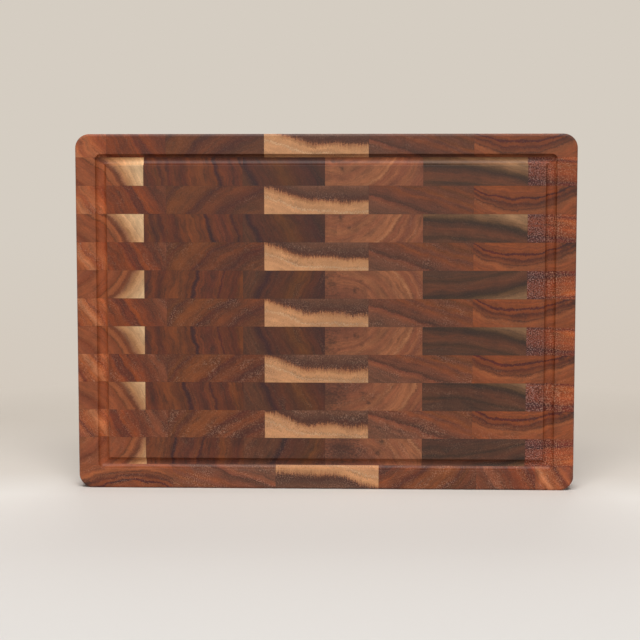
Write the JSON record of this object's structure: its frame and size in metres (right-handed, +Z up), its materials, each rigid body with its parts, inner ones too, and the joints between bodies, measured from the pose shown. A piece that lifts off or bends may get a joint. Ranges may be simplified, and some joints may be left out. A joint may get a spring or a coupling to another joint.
{
  "type": "cutting board",
  "caption": "End-grain butcher-block cutting board of glued acacia blocks, standing on its long edge, with rounded corners and a juice groove round its working face.",
  "frame": {"origin": "middle of the long edge that the board stands on, at its bottom", "axes": "+X along the board's length to the right, +Z up along its height, +Y through its thickness from the working face to the back"},
  "size_m": [0.42, 0.038, 0.3],
  "materials": {
    "acacia_red_end": "satin, oiled",
    "acacia_dark_red": "satin, oiled",
    "acacia_brown": "satin, oiled",
    "acacia_sapwood": "satin, oiled",
    "acacia_streaked": "satin, oiled",
    "acacia_arched_end": "satin, oiled",
    "acacia_pale_corner": "satin, oiled",
    "acacia_dark_brown": "satin, oiled",
    "acacia_purple": "satin, oiled",
    "acacia_light_brown": "satin, oiled",
    "acacia_greyish": "satin, oiled",
    "acacia_speckled_end": "satin, oiled"
  },
  "bodies": {
    "root": {"dark_red_blocks": "acacia_dark_red", "pale_corner_blocks": "acacia_pale_corner", "red_end_blocks": "acacia_red_end", "row_01_arched_end_block": "acacia_arched_end", "row_01_brown_block": "acacia_brown", "row_01_sapwood_block": "acacia_sapwood", "row_01_streaked_block": "acacia_streaked", "row_02_dark_brown_block": "acacia_dark_brown", "row_02_greyish_block": "acacia_greyish", "row_02_light_brown_block": "acacia_light_brown", "row_02_purple_block": "acacia_purple", "row_03_arched_end_block": "acacia_arched_end", "row_03_brown_block": "acacia_brown", "row_03_sapwood_block": "acacia_sapwood", "row_03_streaked_block": "acacia_streaked", "row_04_dark_brown_block": "acacia_dark_brown", "row_04_greyish_block": "acacia_greyish", "row_04_light_brown_block": "acacia_light_brown", "row_04_purple_block": "acacia_purple", "row_05_arched_end_block": "acacia_arched_end", "row_05_brown_block": "acacia_brown", "row_05_sapwood_block": "acacia_sapwood", "row_05_streaked_block": "acacia_streaked", "row_06_dark_brown_block": "acacia_dark_brown", "row_06_greyish_block": "acacia_greyish", "row_06_light_brown_block": "acacia_light_brown", "row_06_purple_block": "acacia_purple", "row_07_arched_end_block": "acacia_arched_end", "row_07_brown_block": "acacia_brown", "row_07_sapwood_block": "acacia_sapwood", "row_07_streaked_block": "acacia_streaked", "row_08_dark_brown_block": "acacia_dark_brown", "row_08_greyish_block": "acacia_greyish", "row_08_light_brown_block": "acacia_light_brown", "row_08_purple_block": "acacia_purple", "row_09_arched_end_block": "acacia_arched_end", "row_09_brown_block": "acacia_brown", "row_09_sapwood_block": "acacia_sapwood", "row_09_streaked_block": "acacia_streaked", "row_10_dark_brown_block": "acacia_dark_brown", "row_10_greyish_block": "acacia_greyish", "row_10_light_brown_block": "acacia_light_brown", "row_10_purple_block": "acacia_purple", "row_11_arched_end_block": "acacia_arched_end", "row_11_brown_block": "acacia_brown", "row_11_sapwood_block": "acacia_sapwood", "row_11_streaked_block": "acacia_streaked", "row_12_dark_brown_block": "acacia_dark_brown", "row_12_greyish_block": "acacia_greyish", "row_12_light_brown_block": "acacia_light_brown", "row_12_purple_block": "acacia_purple", "row_13_arched_end_block": "acacia_arched_end", "row_13_brown_block": "acacia_brown", "row_13_sapwood_block": "acacia_sapwood", "row_13_streaked_block": "acacia_streaked", "speckled_end_blocks": "acacia_speckled_end"}
  },
  "joints": []
}
